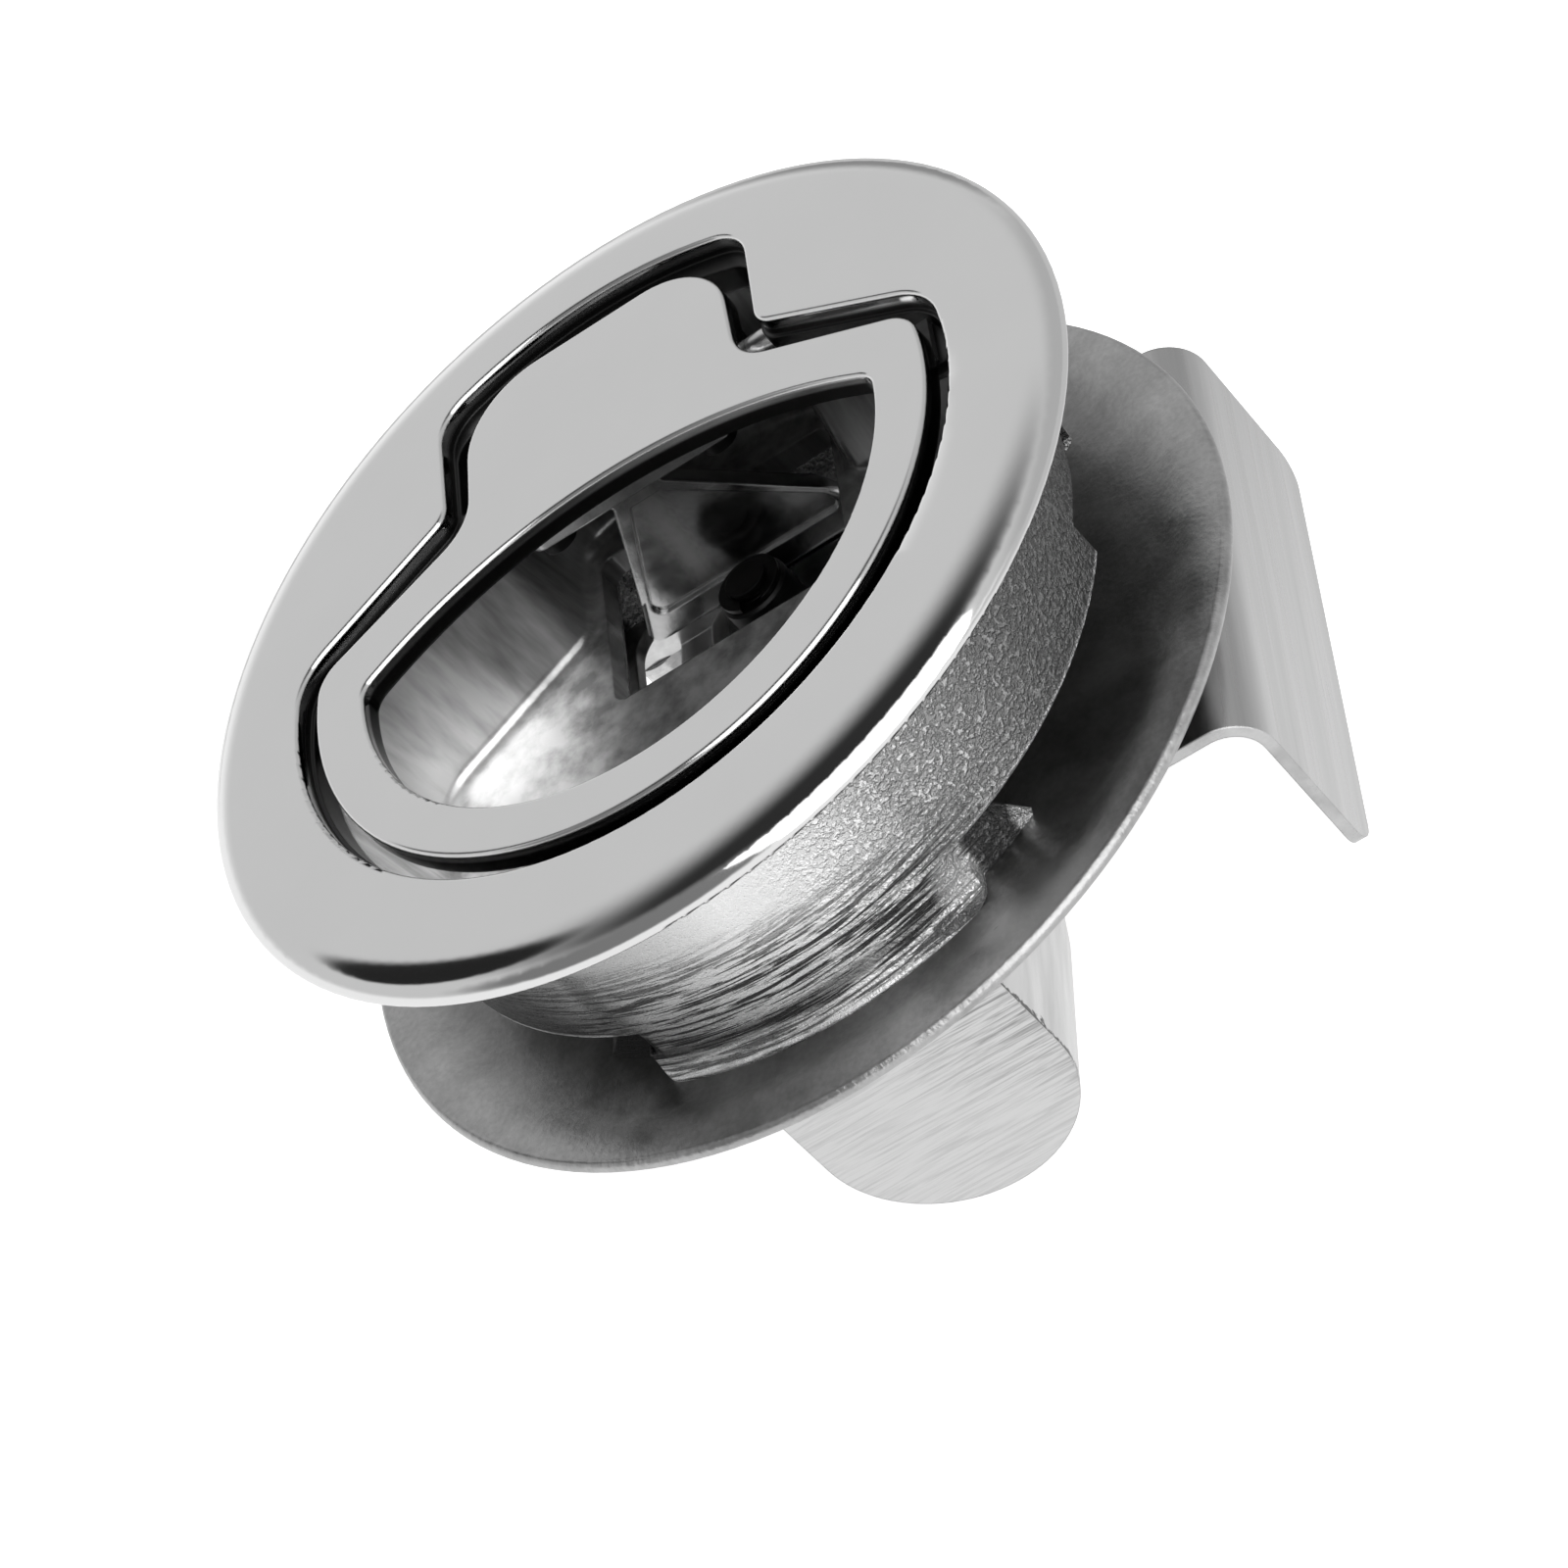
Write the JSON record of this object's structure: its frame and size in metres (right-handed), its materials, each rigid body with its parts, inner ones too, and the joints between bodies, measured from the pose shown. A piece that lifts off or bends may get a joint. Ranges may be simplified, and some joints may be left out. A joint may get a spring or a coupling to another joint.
{
  "type": "flush lift-handle latch",
  "caption": "Round flush latch: a D-ring handle hinged in a polished flange lifts out and draws a bent tongue in behind a dished clamp plate.",
  "frame": {"origin": "centre of the flange's back face, where it seats on the panel", "axes": "+Z out of the front face, +Y toward the handle's thumb tab, +X toward the tongue"},
  "size_m": [0.065, 0.065, 0.0404],
  "materials": {
    "flange_steel": "mirror-polished flange and handle side, cast and blasted behind",
    "handle_steel": "mirror polished",
    "pin_steel": "ground",
    "lever_steel": "stamped, dull",
    "screw_steel": "turned",
    "spring_steel": "drawn wire",
    "pad_rubber": "matte",
    "plate_steel": "dull and mottled, lighter at the rim",
    "housing_steel": "satin casting with a ground end",
    "tongue_steel": "satin sheet"
  },
  "bodies": {
    "body": {"flange_cup": "flange_steel", "clamp_plate": "plate_steel", "rear_housing": "housing_steel", "housing_screws": "screw_steel", "lock_washers": "screw_steel", "hinge_pin": "pin_steel", "handle_spring": "spring_steel", "handle_bumpers": "pad_rubber", "plunger_spring": "spring_steel", "barrel_plug": "housing_steel", "guide_pins": "pin_steel"},
    "handle": {"lift_handle": "handle_steel", "handle_lever": "lever_steel", "lever_screws": "screw_steel"},
    "plunger_group": {"plunger": "pin_steel", "drive_post": "pin_steel", "slot_roller": "pin_steel", "lever_roller": "pin_steel", "post_clip": "spring_steel"},
    "tongue_slide": {"tongue": "tongue_steel"}
  },
  "joints": [
    {"name": "handle_lift", "type": "hinge", "parent": "body", "child": "handle", "pos_m": [0, 0.014, -0.001], "axis": [-1, 0, 0], "range_deg": [0, 36], "stiffness_Nm_per_rad": 0.085, "springref_deg": -19.48, "deforming": ["handle_spring"]},
    {"name": "plunger_travel", "type": "slide", "parent": "body", "child": "plunger_group", "axis": [0, -1, 0], "range_m": [0, 0.0095], "deforming": ["plunger_spring"]},
    {"name": "tongue_draw", "type": "slide", "parent": "body", "child": "tongue_slide", "axis": [-1, 0, 0], "range_m": [0, 0.008]}
  ],
  "couplings": [
    {"joint": "plunger_travel", "follows": "handle_lift", "m_per_rad": 0.015119},
    {"joint": "tongue_draw", "follows": "handle_lift", "m_per_rad": 0.012732}
  ]
}
